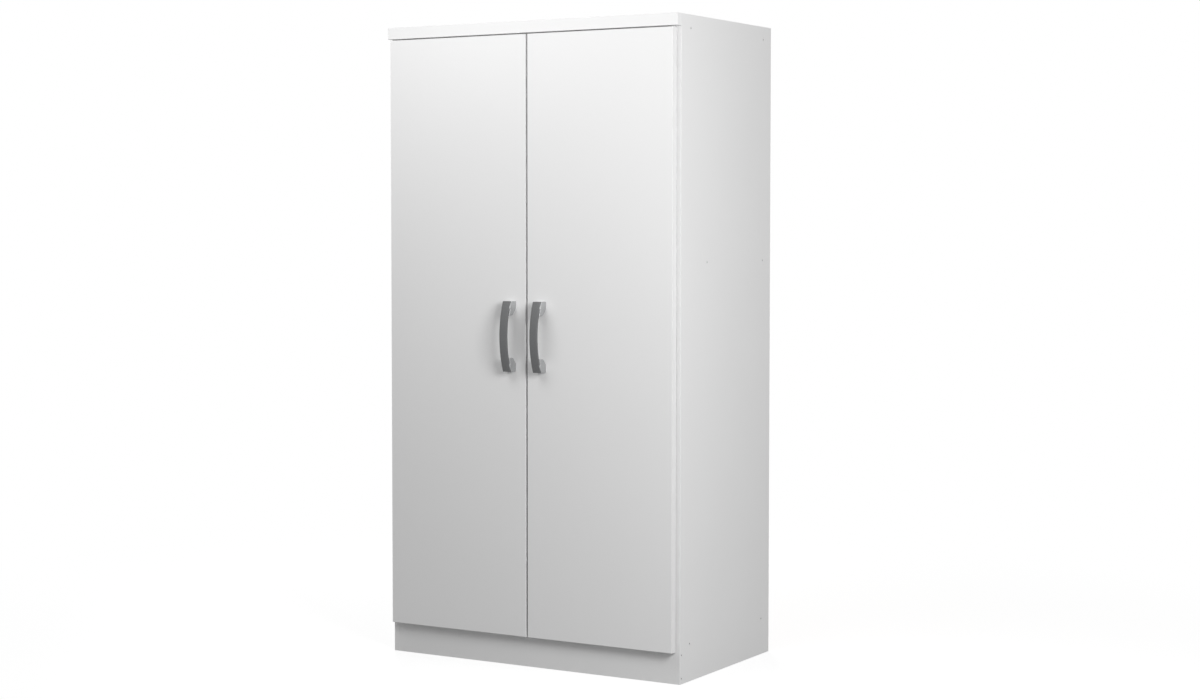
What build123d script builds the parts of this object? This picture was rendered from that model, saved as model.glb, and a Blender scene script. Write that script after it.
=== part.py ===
from build123d import *
import os

os.makedirs("parts", exist_ok=True)

# White two-door wardrobe. The front faces -Y and the floor is Z = 0. The origin lies on the floor,
# in the middle of the outline, handles included.

# Carcass boards
wardrobe_height = 1800.0
wardrobe_width = 940.0
carcass_depth = 545.0
board = 18.0
board_edge_radius = 0.8
plinth_height = 94.0
shelf_underside = 1127.0
shelf_setback = 102.0
top_recess = 27.5

# Cornice strip across the front, made of the same thick board as the doors
front_board = 22.0
cornice_height = 33.0
cornice_edge_radius = 1.0

# Doors
door_standoff = 4.0
door_reveal = 11.5
door_meeting_gap = 6.5
door_top_gap = 4.0
door_bottom_height = 88.0
door_edge_radius = 0.8
door_back_edge_radius = 0.8

# Back: two thin sheets in rabbets, with a joining strip of H section between them
back_sheet = 3.0
back_inset = 1.4
rabbet_width = 9.0
sheet_fit = 0.5
joint_web = 1.2
joint_flange = 1.0
joint_width = 16.0
joint_fit = 0.3

# Nails of the back
nail_radius = 0.8
nail_head_radius = 1.8
nail_head = 0.9
nail_length = 20.0
nail_fit = 0.02
nails_per_side = 8
nails_per_edge = 4

# Carcass screws, driven through the sides into the ends of the boards
carcass_screw_head_radius = 5.0
carcass_screw_head = 3.0
carcass_screw_shank_radius = 3.5
carcass_screw_core_radius = 2.5
carcass_screw_length = 50.0
carcass_socket_radius = 1.8
carcass_socket_depth = 2.2
carcass_screw_inset = 50.0
carcass_front_screw_inset = 55.0
plinth_screw_low = 15.0
plinth_screw_spacing = 64.0
screw_fit = 0.05

# Small screws with a cross recess
small_screw_head_radius = 3.2
small_screw_head = 1.4
small_screw_radius = 1.6
recess_span = 3.6
recess_width = 0.9
recess_depth = 0.8

# Brackets and dowels that hold the cornice strip
bracket_leg = 20.0
bracket_metal = 2.0
bracket_width = 16.0
bracket_spacing = 300.0
bracket_count = 3
bracket_screw_length = 14.0
dowel_radius = 4.0
dowel_in_cornice = 13.0
dowel_in_side = 22.0
dowel_end_space = 1.0

# Hanging rail: oval tube in a socket at each end
rail_height = 30.0
rail_thickness = 15.0
rail_wall = 1.0
rail_drop = 60.0
socket_plate = 3.0
socket_depth = 14.0
socket_wall = 2.0
socket_fit = 0.15
socket_plate_margin = 10.0
socket_screw_length = 15.0
rail_end_space = 0.3

# Cup hinges, sizes across the door edge measured from the door's outer edge
hinge_end_distance = 100.0
cup_radius = 17.5
cup_depth = 12.5
cup_wall = 1.0
cup_edge_distance = 3.0
cup_lip = 1.0
cup_flange = 1.2
cup_fit = 0.1
cup_screw_offset = 6.0
cup_screw_spacing = 48.0
cup_wing_width = 14.0
cup_wing_length = 60.0
cup_wing_corner = 6.0
cup_screw_length = 13.0

# Hinge pin, held in the cup's ears, and the arm's knuckle that turns on it
pin_edge_distance = 8.0
pin_depth = 8.0
pin_radius = 1.25
pin_half_length = 10.5
pin_press = 0.01
pin_running_fit = 0.05
knuckle_radius = 2.6
knuckle_half_width = 5.0
ear_space = 0.4
ear_thickness = 3.2

# Hinge arm: a strap out of the cup, cranked to a channel that straddles the mounting plate
arm_metal = 2.5
arm_reach = 14.0
arm_bend_radius = 1.0
arm_crank_front = 4.0
arm_crank_back = 15.0
arm_end = 66.0
channel_wall = 1.2
channel_side_space = 0.3
channel_base_space = 1.0
arm_screw_radius = 2.0
arm_screw_head_radius = 3.6
arm_screw_head = 2.0
arm_screw_setback = 52.0
arm_screw_end_space = 1.0

# Hinge mounting plate on the side panel
plate_height = 8.0
plate_base = 2.0
plate_rib_half_width = 4.5
plate_wing_width = 13.0
plate_wing_length = 46.0
plate_wing_corner = 4.0
plate_screw_setback = 37.0
plate_screw_spacing = 32.0
plate_screw_length = 13.0

# Bow handles: a bowed strap that lies at each end between the cheeks of a cast foot
handle_length = 196.0
handle_width = 24.0
handle_centre_height = 928.0
handle_edge_distance = 45.75
handle_projection = 45.0
handle_end_projection = 26.5
handle_face = 5.0
handle_face_edge_radius = 1.0
handle_foot_width = 29.0
handle_foot_length = 22.0
handle_foot_reach = 39.0
handle_shoulder = 15.0
handle_shoulder_radius = 8.0
handle_cheek_peak = 19.0
handle_cheek_end = 23.0
handle_screw_spacing = 160.0
handle_screw_radius = 2.0
handle_screw_head_radius = 4.0
handle_screw_head = 2.4
handle_screw_grip = 9.0
handle_screw_space = 0.2

# Bumpers on the doors
bumper_radius = 4.0
bumper_space = 0.3
bumper_edge_distance = 12.0

# Main planes and faces
front_stack = door_standoff + front_board + handle_projection
overall_depth = carcass_depth + front_stack
front_y = front_stack - overall_depth / 2
back_y = front_y + carcass_depth
rabbet_depth = back_sheet + back_inset
sheet_back_y = back_y - back_inset
sheet_front_y = sheet_back_y - back_sheet
inner_depth = sheet_front_y - front_y
side_outer_x = wardrobe_width / 2
side_inner_x = side_outer_x - board
side_middle_x = side_outer_x - board / 2
inside_width = 2 * side_inner_x
top_panel_z = wardrobe_height - top_recess - board
top_surface_z = wardrobe_height - top_recess
bottom_surface_z = plinth_height + board
cornice_z = wardrobe_height - cornice_height
shelf_depth = inner_depth - shelf_setback - joint_flange - joint_fit
shelf_front_y = front_y + shelf_setback

door_back_y = front_y - door_standoff
door_front_y = door_back_y - front_board
door_width = (wardrobe_width - door_meeting_gap) / 2 - door_reveal
door_top = cornice_z - door_top_gap
door_height = door_top - door_bottom_height
door_centre_x = (door_meeting_gap + door_width) / 2
door_centre_z = door_bottom_height + door_height / 2

handle_x = door_meeting_gap / 2 + handle_edge_distance
handle_half = handle_length / 2
handle_low_screw_z = handle_centre_height - handle_screw_spacing / 2
bow_rise = handle_projection - handle_end_projection
bow_radius = (handle_half**2 + bow_rise**2) / (2 * bow_rise)

door_edge_x = side_outer_x - door_reveal
pin_x = door_edge_x - pin_edge_distance
pin_y = door_back_y - pin_depth
cup_x = door_edge_x - cup_edge_distance - cup_radius
pin_from_cup = cup_x - pin_x
pin_inward = side_inner_x - pin_x
pin_forward = front_y - pin_y
channel_half = plate_rib_half_width + channel_side_space + channel_wall
arm_top = plate_height + arm_metal
hinge_heights = {
    "lower": door_bottom_height + hinge_end_distance,
    "middle": door_centre_z,
    "upper": door_top - hinge_end_distance,
}

rail_z = shelf_underside - rail_drop
rail_y = front_y + inner_depth / 2
rail_half_length = side_inner_x - socket_plate - rail_end_space
socket_outer_height = rail_height + 2 * (socket_fit + socket_wall)
socket_outer_thickness = rail_thickness + 2 * (socket_fit + socket_wall)
socket_plate_height = socket_outer_height + 2 * socket_plate_margin
socket_screw_spacing = socket_outer_height + socket_plate_margin

hands = {"left": -1, "right": 1}


def write(piece, name):
    """Label a finished piece and write its file."""
    piece.part.label = name
    export_step(piece.part, f"parts/{name}.step")


def rods(planes, radius, start, end, mode=Mode.ADD):
    """Round bars along the planes' normals, between two depths below each plane."""
    with Locations(*[plane.offset(-start) for plane in planes]):
        Cylinder(radius, end - start, align=(Align.CENTER, Align.CENTER, Align.MAX), mode=mode)


def small_screws(planes, length, head_radius=small_screw_head_radius, head=small_screw_head,
                 radius=small_screw_radius):
    """Screws whose heads seat on the planes, with a cross recess in each head."""
    rods(planes, head_radius, -head, 0)
    rods(planes, radius, 0, length)
    head_tops = [plane.offset(head) for plane in planes]
    with BuildSketch(*head_tops) as cross:
        Rectangle(recess_span, recess_width)
        Rectangle(recess_width, recess_span)
    extrude(cross.sketch, amount=-recess_depth, mode=Mode.SUBTRACT)


def facing(x, y, z, normal, x_dir=None):
    """A plane at a point, with its normal pointing out of the surface there."""
    return Plane(origin=(x, y, z), x_dir=x_dir, z_dir=normal)


def board_end_screws(side, z, y_first, y_second):
    """Two screw places on the outer face of a side, at one height."""
    return [facing(side * side_outer_x, y, z, (side, 0, 0)) for y in (y_first, y_second)]


def spread(count, low, high):
    """Evenly spaced places from low to high."""
    step = (high - low) / (count - 1)
    return [low + step * index for index in range(count)]


def pilot_holes(planes):
    """Holes in the end of a board for the cores of the carcass screws."""
    rods(planes, carcass_screw_core_radius + screw_fit, board, carcass_screw_length, Mode.SUBTRACT)


# Places of the carcass screws on each side, by the board that they hold
back_screw_y = back_y - carcass_screw_inset
front_screw_y = front_y + carcass_front_screw_inset
plinth_screw_y = front_y + board / 2
top_screws = {}
shelf_screws = {}
bottom_screws = {}
plinth_screws = {}
for hand, side in hands.items():
    top_screws[hand] = board_end_screws(side, top_panel_z + board / 2, front_screw_y, back_screw_y)
    shelf_screws[hand] = board_end_screws(
        side, shelf_underside + board / 2, shelf_front_y + carcass_screw_inset, back_screw_y
    )
    bottom_screws[hand] = board_end_screws(side, plinth_height + board / 2, front_screw_y, back_screw_y)
    plinth_screws[hand] = [
        facing(side * side_outer_x, plinth_screw_y, z, (side, 0, 0))
        for z in (plinth_screw_low, plinth_screw_low + plinth_screw_spacing)
    ]

# Places of the nails on the back sheets, by the board that they go into
nail_edge_x = side_inner_x + rabbet_width / 2
nail_heights = spread(nails_per_side, bottom_surface_z + board, top_panel_z - board)
nail_row = spread(nails_per_edge, joint_width, side_inner_x - board)
side_nails = {
    hand: [facing(side * nail_edge_x, sheet_back_y, z, (0, 1, 0)) for z in nail_heights]
    for hand, side in hands.items()
}
board_nails = {}
for name, z in (("top", top_panel_z), ("shelf", shelf_underside), ("bottom", plinth_height)):
    board_nails[name] = {
        hand: [facing(side * x, sheet_back_y, z + board / 2, (0, 1, 0)) for x in nail_row]
        for hand, side in hands.items()
    }


def nail_holes(planes):
    """Holes that the nails have made, in a board or in a sheet."""
    rods(planes, nail_radius + nail_fit, 0, nail_length, Mode.SUBTRACT)


def both_hands(places):
    """The places of the left half and of the right half in one list."""
    return places["left"] + places["right"]


# Places of the dowels and brackets of the cornice strip
dowel_places = {
    hand: [facing(side * side_middle_x, front_y, cornice_z + cornice_height / 2, (0, 1, 0))]
    for hand, side in hands.items()
}
bracket_span = bracket_spacing * (bracket_count - 1)
bracket_places = spread(bracket_count, -bracket_span / 2, bracket_span / 2)
bracket_screw_at = (bracket_leg + bracket_metal) / 2
bracket_down_screws = [
    facing(x, front_y + bracket_screw_at, top_surface_z + bracket_metal, (0, 0, 1)) for x in bracket_places
]
bracket_forward_screws = [
    facing(x, front_y + bracket_metal, top_surface_z + bracket_screw_at, (0, 1, 0)) for x in bracket_places
]

# Places of the screws of the rail sockets and of the handles
socket_screws = {
    hand: [
        facing(side * (side_inner_x - socket_plate), rail_y, z, (-side, 0, 0))
        for z in (rail_z - socket_screw_spacing / 2, rail_z + socket_screw_spacing / 2)
    ]
    for hand, side in hands.items()
}
handle_screws = {
    hand: [
        facing(side * handle_x, door_back_y, z, (0, 1, 0))
        for z in (handle_low_screw_z, handle_low_screw_z + handle_screw_spacing)
    ]
    for hand, side in hands.items()
}


def cup_place(side, z):
    """The middle of a hinge cup's mouth, on the back of the door."""
    return facing(side * cup_x, door_back_y, z, (0, 1, 0), (-side, 0, 0))


def cup_screw_places(side, z):
    """The two screws through the wings of a hinge cup."""
    x = side * (cup_x - cup_screw_offset)
    ends = (z - cup_screw_spacing / 2, z + cup_screw_spacing / 2)
    return [facing(x, door_back_y + cup_flange, end, (0, 1, 0)) for end in ends]


def pin_place(side, z):
    """The upper end of a hinge pin."""
    return facing(side * pin_x, pin_y, z + pin_half_length, (0, 0, 1))


def plate_screw_places(side, z):
    """The two screws through the wings of a mounting plate."""
    x = side * (side_inner_x - plate_base)
    ends = (z - plate_screw_spacing / 2, z + plate_screw_spacing / 2)
    return [facing(x, front_y + plate_screw_setback, end, (-side, 0, 0)) for end in ends]


def arm_screw_place(side, z):
    """The screw that clamps a hinge arm on its mounting plate."""
    return facing(side * (side_inner_x - arm_top), front_y + arm_screw_setback, z, (-side, 0, 0))


def pairs_at_hinges(places, side):
    """Places that come in pairs, at all the hinges of one door."""
    return [plane for z in hinge_heights.values() for plane in places(side, z)]


# Side panels, rabbeted at the back for the sheets
for hand, side in hands.items():
    with BuildPart() as side_panel:
        with BuildSketch(Plane.XY):
            with Locations((side * side_middle_x, front_y + carcass_depth / 2)):
                Rectangle(board, carcass_depth)
            with Locations((side * nail_edge_x, back_y - rabbet_depth / 2)):
                Rectangle(rabbet_width, rabbet_depth, mode=Mode.SUBTRACT)
        extrude(amount=wardrobe_height)
        front_edges = side_panel.faces().sort_by(Axis.Y)[0].edges()
        fillet(front_edges.filter_by(Axis.Z), board_edge_radius)
        screw_places = top_screws[hand] + shelf_screws[hand] + bottom_screws[hand] + plinth_screws[hand]
        with Locations(*screw_places):
            CounterBoreHole(
                carcass_screw_shank_radius + screw_fit,
                carcass_screw_head_radius + screw_fit,
                carcass_screw_head,
                depth=board,
            )
        nail_holes(side_nails[hand])
        rods(dowel_places[hand], dowel_radius + screw_fit, -dowel_in_side - dowel_end_space, 0, Mode.SUBTRACT)
        rods(socket_screws[hand], small_screw_radius + screw_fit, 0, socket_screw_length, Mode.SUBTRACT)
        plate_screws = pairs_at_hinges(plate_screw_places, side)
        rods(plate_screws, small_screw_radius + screw_fit, 0, plate_screw_length, Mode.SUBTRACT)
    write(side_panel, f"{hand}_side_panel")

# Top panel, set below the upper ends of the sides
with BuildPart() as top_panel:
    with BuildSketch(Plane.XY.offset(top_panel_z)):
        with Locations((0, front_y + inner_depth / 2)):
            Rectangle(inside_width, inner_depth)
    extrude(amount=board)
    pilot_holes(both_hands(top_screws))
    nail_holes(both_hands(board_nails["top"]))
    rods(bracket_down_screws, small_screw_radius + screw_fit, 0, bracket_screw_length, Mode.SUBTRACT)
write(top_panel, "top_panel")

# Fixed shelf, set back from the doors and clear of the joining strip of the back
with BuildPart() as fixed_shelf:
    with BuildSketch(Plane.XY.offset(shelf_underside)):
        with Locations((0, shelf_front_y + shelf_depth / 2)):
            Rectangle(inside_width, shelf_depth)
    extrude(amount=board)
    front_edges = fixed_shelf.faces().sort_by(Axis.Y)[0].edges()
    fillet(front_edges.filter_by(Axis.X), board_edge_radius)
    pilot_holes(both_hands(shelf_screws))
    nail_holes(both_hands(board_nails["shelf"]))
write(fixed_shelf, "fixed_shelf")

# Bottom panel, on the plinth
with BuildPart() as bottom_panel:
    with BuildSketch(Plane.XY.offset(plinth_height)):
        with Locations((0, front_y + inner_depth / 2)):
            Rectangle(inside_width, inner_depth)
    extrude(amount=board)
    pilot_holes(both_hands(bottom_screws))
    nail_holes(both_hands(board_nails["bottom"]))
write(bottom_panel, "bottom_panel")

# Plinth board, flush with the front edges of the sides
with BuildPart() as plinth:
    with BuildSketch(Plane.XY):
        with Locations((0, front_y + board / 2)):
            Rectangle(inside_width, board)
    extrude(amount=plinth_height)
    pilot_holes(both_hands(plinth_screws))
write(plinth, "plinth")

# Cornice strip, in front of the sides and of the top panel
with BuildPart() as cornice_strip:
    with BuildSketch(Plane.XY.offset(cornice_z)):
        with Locations((0, front_y - front_board / 2)):
            Rectangle(wardrobe_width, front_board)
    extrude(amount=cornice_height)
    fillet(cornice_strip.faces().sort_by(Axis.Y)[0].edges(), cornice_edge_radius)
    dowel_hole_depth = dowel_in_cornice + dowel_end_space
    rods(both_hands(dowel_places), dowel_radius + screw_fit, 0, dowel_hole_depth, Mode.SUBTRACT)
    rods(bracket_forward_screws, small_screw_radius + screw_fit, 0, bracket_screw_length, Mode.SUBTRACT)
write(cornice_strip, "cornice_strip")

# Wooden dowels between the cornice strip and the sides
with BuildPart() as cornice_dowels:
    dowel_ends = [plane.offset(dowel_in_side) for plane in both_hands(dowel_places)]
    rods(dowel_ends, dowel_radius, 0, dowel_in_side + dowel_in_cornice)
write(cornice_dowels, "cornice_dowels")

# Steel angle brackets behind the cornice strip, on the top panel
with BuildPart() as cornice_brackets:
    bracket_ends = [
        facing(x - bracket_width / 2, front_y, top_surface_z, (1, 0, 0), (0, 1, 0)) for x in bracket_places
    ]
    with BuildSketch(*bracket_ends):
        Rectangle(bracket_leg, bracket_metal, align=(Align.MIN, Align.MIN))
        Rectangle(bracket_metal, bracket_leg, align=(Align.MIN, Align.MIN))
    extrude(amount=bracket_width)
    bracket_screws = bracket_down_screws + bracket_forward_screws
    rods(bracket_screws, small_screw_radius + screw_fit, 0, bracket_metal, Mode.SUBTRACT)
write(cornice_brackets, "cornice_brackets")

with BuildPart() as cornice_bracket_screws:
    small_screws(bracket_down_screws + bracket_forward_screws, bracket_screw_length)
write(cornice_bracket_screws, "cornice_bracket_screws")

# Carcass screws with hexagon sockets, heads flush with the sides
for hand, side in hands.items():
    with BuildPart() as carcass_screws:
        screw_places = top_screws[hand] + shelf_screws[hand] + bottom_screws[hand] + plinth_screws[hand]
        rods(screw_places, carcass_screw_head_radius, 0, carcass_screw_head)
        rods(screw_places, carcass_screw_shank_radius, carcass_screw_head, board)
        rods(screw_places, carcass_screw_core_radius, board, carcass_screw_length)
        with BuildSketch(*screw_places):
            RegularPolygon(carcass_socket_radius, side_count=6)
        extrude(amount=-carcass_socket_depth, mode=Mode.SUBTRACT)
    write(carcass_screws, f"{hand}_carcass_screws")

# Back sheets, from the underside of the bottom panel to the top of the top panel
sheet_inner_x = joint_web / 2 + joint_fit
sheet_outer_x = side_inner_x + rabbet_width - sheet_fit
for hand, side in hands.items():
    with BuildPart() as back_panel:
        with BuildSketch(Plane.XY.offset(plinth_height)):
            with Locations((side * (sheet_inner_x + sheet_outer_x) / 2, sheet_back_y - back_sheet / 2)):
                Rectangle(sheet_outer_x - sheet_inner_x, back_sheet)
        extrude(amount=top_surface_z - plinth_height)
        nail_holes(side_nails[hand])
        for rows in board_nails.values():
            nail_holes(rows[hand])
    write(back_panel, f"back_panel_{hand}")

# Joining strip of H section between the sheets
with BuildPart() as back_joint_strip:
    with BuildSketch(Plane.XY.offset(bottom_surface_z)):
        with Locations((0, sheet_back_y - back_sheet / 2)):
            Rectangle(joint_web, back_sheet)
        with Locations((0, sheet_back_y + joint_flange / 2), (0, sheet_front_y - joint_flange / 2)):
            Rectangle(joint_width, joint_flange)
    extrude(amount=top_panel_z - bottom_surface_z)
write(back_joint_strip, "back_joint_strip")

# Flat-headed nails through the sheets
with BuildPart() as back_panel_nails:
    nail_places = both_hands(side_nails)
    for rows in board_nails.values():
        nail_places = nail_places + both_hands(rows)
    rods(nail_places, nail_head_radius, -nail_head, 0)
    rods(nail_places, nail_radius, 0, nail_length)
write(back_panel_nails, "back_panel_nails")

# Hanging rail, an oval steel tube
with BuildPart() as hanging_rail:
    with BuildSketch(facing(-rail_half_length, rail_y, rail_z, (1, 0, 0), (0, 0, 1))):
        SlotOverall(rail_height, rail_thickness)
        SlotOverall(rail_height - 2 * rail_wall, rail_thickness - 2 * rail_wall, mode=Mode.SUBTRACT)
    extrude(amount=2 * rail_half_length)
write(hanging_rail, "hanging_rail")

# Sockets of the rail, screwed to the sides
for hand, side in hands.items():
    with BuildPart() as rail_socket:
        socket_plane = facing(side * side_inner_x, rail_y, rail_z, (-side, 0, 0), (0, 0, 1))
        with BuildSketch(socket_plane):
            SlotOverall(socket_plate_height, socket_outer_thickness)
        extrude(amount=socket_plate)
        with BuildSketch(socket_plane.offset(socket_plate)):
            SlotOverall(socket_outer_height, socket_outer_thickness)
            SlotOverall(rail_height + 2 * socket_fit, rail_thickness + 2 * socket_fit, mode=Mode.SUBTRACT)
        extrude(amount=socket_depth)
        rods(socket_screws[hand], small_screw_radius + screw_fit, 0, socket_plate, Mode.SUBTRACT)
    write(rail_socket, f"{hand}_rail_socket")

with BuildPart() as rail_socket_screws:
    small_screws(both_hands(socket_screws), socket_screw_length)
write(rail_socket_screws, "rail_socket_screws")

# Door panels, bored on the back for the hinge cups and through for the handle screws
for hand, side in hands.items():
    with BuildPart() as door_panel:
        with BuildSketch(facing(side * door_centre_x, door_back_y, door_centre_z, (0, -1, 0), (1, 0, 0))):
            Rectangle(door_width, door_height)
        extrude(amount=front_board)
        fillet(door_panel.faces().sort_by(Axis.Y)[0].edges(), door_edge_radius)
        fillet(door_panel.faces().sort_by(Axis.Y)[-1].edges(), door_back_edge_radius)
        with Locations(*[cup_place(side, z) for z in hinge_heights.values()]):
            Hole(cup_radius + cup_fit, depth=cup_depth + cup_fit)
        cup_screws = pairs_at_hinges(cup_screw_places, side)
        rods(cup_screws, small_screw_radius + screw_fit, 0, cup_screw_length, Mode.SUBTRACT)
        with Locations(*handle_screws[hand]):
            Hole(handle_screw_radius + handle_screw_space, depth=front_board)
    write(door_panel, f"{hand}_door_panel")


def bow_point(depth, along):
    """A point of the handle's profile, at a depth below the bow's outer arc."""
    arc_centre = handle_projection - bow_radius
    return (arc_centre + ((bow_radius - depth) ** 2 - along**2) ** 0.5, along)


# Handles: profiles seen from the side, from the door outwards and along the handle
foot_inner_end = handle_half - handle_foot_length
reach_end = handle_half - handle_foot_reach
cheek_peak = handle_half - handle_cheek_peak
cheek_end = handle_half - handle_cheek_end
for hand, side in hands.items():
    profile_plane = facing(side * handle_x, door_front_y, handle_centre_height, (-1, 0, 0), (0, -1, 0))
    screw_reach = front_board + handle_screw_grip

    with BuildPart() as handle_face_strap:
        with BuildSketch(profile_plane) as strap_section:
            with BuildLine():
                outer_arc = ThreePointArc(
                    bow_point(0, 0),
                    bow_point(0, handle_half / 2),
                    bow_point(0, handle_half),
                )
                strap_end = Line(outer_arc @ 1, bow_point(handle_face, handle_half))
                ThreePointArc(strap_end @ 1, bow_point(handle_face, handle_half / 2), bow_point(handle_face, 0))
                mirror(about=Plane.XZ)
            make_face()
        extrude(amount=handle_width / 2, both=True)
        outer_faces = handle_face_strap.faces().group_by(Axis.Y)[0]
        fillet(outer_faces.edges().filter_by(GeomType.CIRCLE), handle_face_edge_radius)
    write(handle_face_strap, f"{hand}_handle_face")

    with BuildPart() as handle_base:
        with BuildSketch(profile_plane) as foot_section:
            with BuildLine():
                cheek = Polyline(
                    (0, foot_inner_end),
                    (0, handle_half),
                    bow_point(handle_face, handle_half),
                    bow_point(handle_face_edge_radius, cheek_peak),
                    bow_point(handle_face, cheek_end),
                )
                under_strap = ThreePointArc(
                    cheek @ 1,
                    bow_point(handle_face, (cheek_end + reach_end) / 2),
                    bow_point(handle_face, reach_end),
                )
                Polyline(under_strap @ 1, (handle_shoulder, reach_end), cheek @ 0)
            make_face()
            shoulder_corner = foot_section.vertices().group_by(Axis.Y)[0].sort_by(Axis.X)[0]
            fillet(shoulder_corner, handle_shoulder_radius)
            mirror(about=Plane.XZ)
        extrude(amount=handle_foot_width / 2, both=True)
        extrude(strap_section.sketch, amount=handle_width / 2, both=True, mode=Mode.SUBTRACT)
        rods(handle_screws[hand], handle_screw_radius + screw_fit, front_board, screw_reach, Mode.SUBTRACT)
    write(handle_base, f"{hand}_handle_base")

    with BuildPart() as handle_screw_pair:
        small_screws(
            handle_screws[hand], screw_reach, handle_screw_head_radius, handle_screw_head, handle_screw_radius
        )
    write(handle_screw_pair, f"{hand}_handle_screws")

# Soft bumpers on the backs of the doors, against the top panel and the bottom panel
bumper_heights = ((top_panel_z + door_top) / 2, plinth_height + board / 2)
bumper_x = door_meeting_gap / 2 + bumper_edge_distance
for hand, side in hands.items():
    with BuildPart() as door_bumpers:
        bumper_planes = [facing(side * bumper_x, door_back_y, z, (0, 1, 0)) for z in bumper_heights]
        rods(bumper_planes, bumper_radius, bumper_space - door_standoff, 0)
    write(door_bumpers, f"{hand}_door_bumpers")

# Hinges: a cup with two ears and a pin in the door, an arm that turns on the pin, and its plate
ear_inner = knuckle_half_width + ear_space
ear_edge = pin_from_cup + pin_radius + ear_thickness
crank = pin_inward + arm_reach
arm_half = arm_metal / 2
channel_low = plate_base + channel_base_space
channel_length = arm_end - arm_crank_back
channel_middle = -(arm_end + arm_crank_back) / 2
arm_screw_length = arm_top - arm_screw_end_space
for hand, side in hands.items():
    for level, z in hinge_heights.items():
        cup_plane = cup_place(side, z)
        pin_top = pin_place(side, z)
        arm_plane = facing(side * side_inner_x, front_y, z, (0, 0, side), (-side, 0, 0))
        plate_plane = facing(side * side_inner_x, front_y, z, (-side, 0, 0), (0, 1, 0))

        with BuildPart() as hinge_cup:
            with BuildSketch(cup_plane):
                Circle(cup_radius + cup_lip)
                with Locations((cup_screw_offset, 0)):
                    RectangleRounded(cup_wing_width, cup_wing_length, cup_wing_corner)
            extrude(amount=cup_flange)
            with BuildSketch(cup_plane):
                Circle(cup_radius)
            extrude(amount=-cup_depth)
            with BuildSketch(cup_plane.offset(cup_flange)):
                Circle(cup_radius - cup_wall)
                with Locations((ear_edge, ear_inner)):
                    Rectangle(cup_radius, cup_radius, align=(Align.MAX, Align.MIN), mode=Mode.SUBTRACT)
                with Locations((ear_edge, -ear_inner)):
                    Rectangle(cup_radius, cup_radius, align=(Align.MAX, Align.MAX), mode=Mode.SUBTRACT)
            extrude(amount=cup_wall - cup_flange - cup_depth, mode=Mode.SUBTRACT)
            rods([pin_top], pin_radius + pin_press, 0, 2 * pin_half_length, Mode.SUBTRACT)
            rods(cup_screw_places(side, z), small_screw_radius + screw_fit, 0, cup_flange, Mode.SUBTRACT)
        write(hinge_cup, f"{hand}_hinge_cup_{level}")

        with BuildPart() as hinge_arm:
            with BuildSketch(arm_plane) as strap:
                with BuildLine():
                    Polyline(
                        (pin_inward, pin_forward + arm_half),
                        (crank + arm_half, pin_forward + arm_half),
                        (crank + arm_half, -arm_crank_front),
                        (arm_top, -arm_crank_back),
                        (arm_top, -arm_end),
                        (plate_height, -arm_end),
                        (plate_height, -arm_crank_back),
                        (crank - arm_half, -arm_crank_front),
                        (crank - arm_half, pin_forward - arm_half),
                        (pin_inward, pin_forward - arm_half),
                        close=True,
                    )
                make_face()
                fillet(strap.vertices(), arm_bend_radius)
                with Locations((pin_inward, pin_forward)):
                    Circle(knuckle_radius)
            extrude(amount=knuckle_half_width, both=True)
            with BuildSketch(arm_plane):
                with Locations(((arm_top + channel_low) / 2, channel_middle)):
                    Rectangle(arm_top - channel_low, channel_length)
            extrude(amount=channel_half, both=True)
            with BuildSketch(arm_plane):
                with Locations(((plate_height + channel_low) / 2, channel_middle)):
                    Rectangle(plate_height - channel_low, channel_length)
            extrude(amount=channel_half - channel_wall, both=True, mode=Mode.SUBTRACT)
            rods([pin_top], pin_radius + pin_running_fit, 0, 2 * pin_half_length, Mode.SUBTRACT)
            rods([arm_screw_place(side, z)], arm_screw_radius + screw_fit, 0, arm_metal, Mode.SUBTRACT)
        write(hinge_arm, f"{hand}_hinge_arm_{level}")

        with BuildPart() as hinge_plate:
            with BuildSketch(plate_plane):
                with Locations((plate_screw_setback, 0)):
                    RectangleRounded(plate_wing_width, plate_wing_length, plate_wing_corner)
            extrude(amount=plate_base)
            with BuildSketch(plate_plane):
                with Locations((-channel_middle, 0)):
                    Rectangle(channel_length, 2 * plate_rib_half_width)
            extrude(amount=plate_height)
            rods(plate_screw_places(side, z), small_screw_radius + screw_fit, 0, plate_base, Mode.SUBTRACT)
            rods([arm_screw_place(side, z)], arm_screw_radius + screw_fit, 0, arm_screw_length, Mode.SUBTRACT)
        write(hinge_plate, f"{hand}_hinge_plate_{level}")

    with BuildPart() as hinge_pins:
        rods([pin_place(side, z) for z in hinge_heights.values()], pin_radius, 0, 2 * pin_half_length)
    write(hinge_pins, f"{hand}_hinge_pins")

    with BuildPart() as hinge_cup_screws:
        small_screws(pairs_at_hinges(cup_screw_places, side), cup_screw_length)
    write(hinge_cup_screws, f"{hand}_hinge_cup_screws")

    with BuildPart() as hinge_plate_screws:
        small_screws(pairs_at_hinges(plate_screw_places, side), plate_screw_length)
    write(hinge_plate_screws, f"{hand}_hinge_plate_screws")

    with BuildPart() as hinge_arm_screws:
        arm_screws = [arm_screw_place(side, z) for z in hinge_heights.values()]
        small_screws(arm_screws, arm_screw_length, arm_screw_head_radius, arm_screw_head, arm_screw_radius)
    write(hinge_arm_screws, f"{hand}_hinge_arm_screws")
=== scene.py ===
import math

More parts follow.
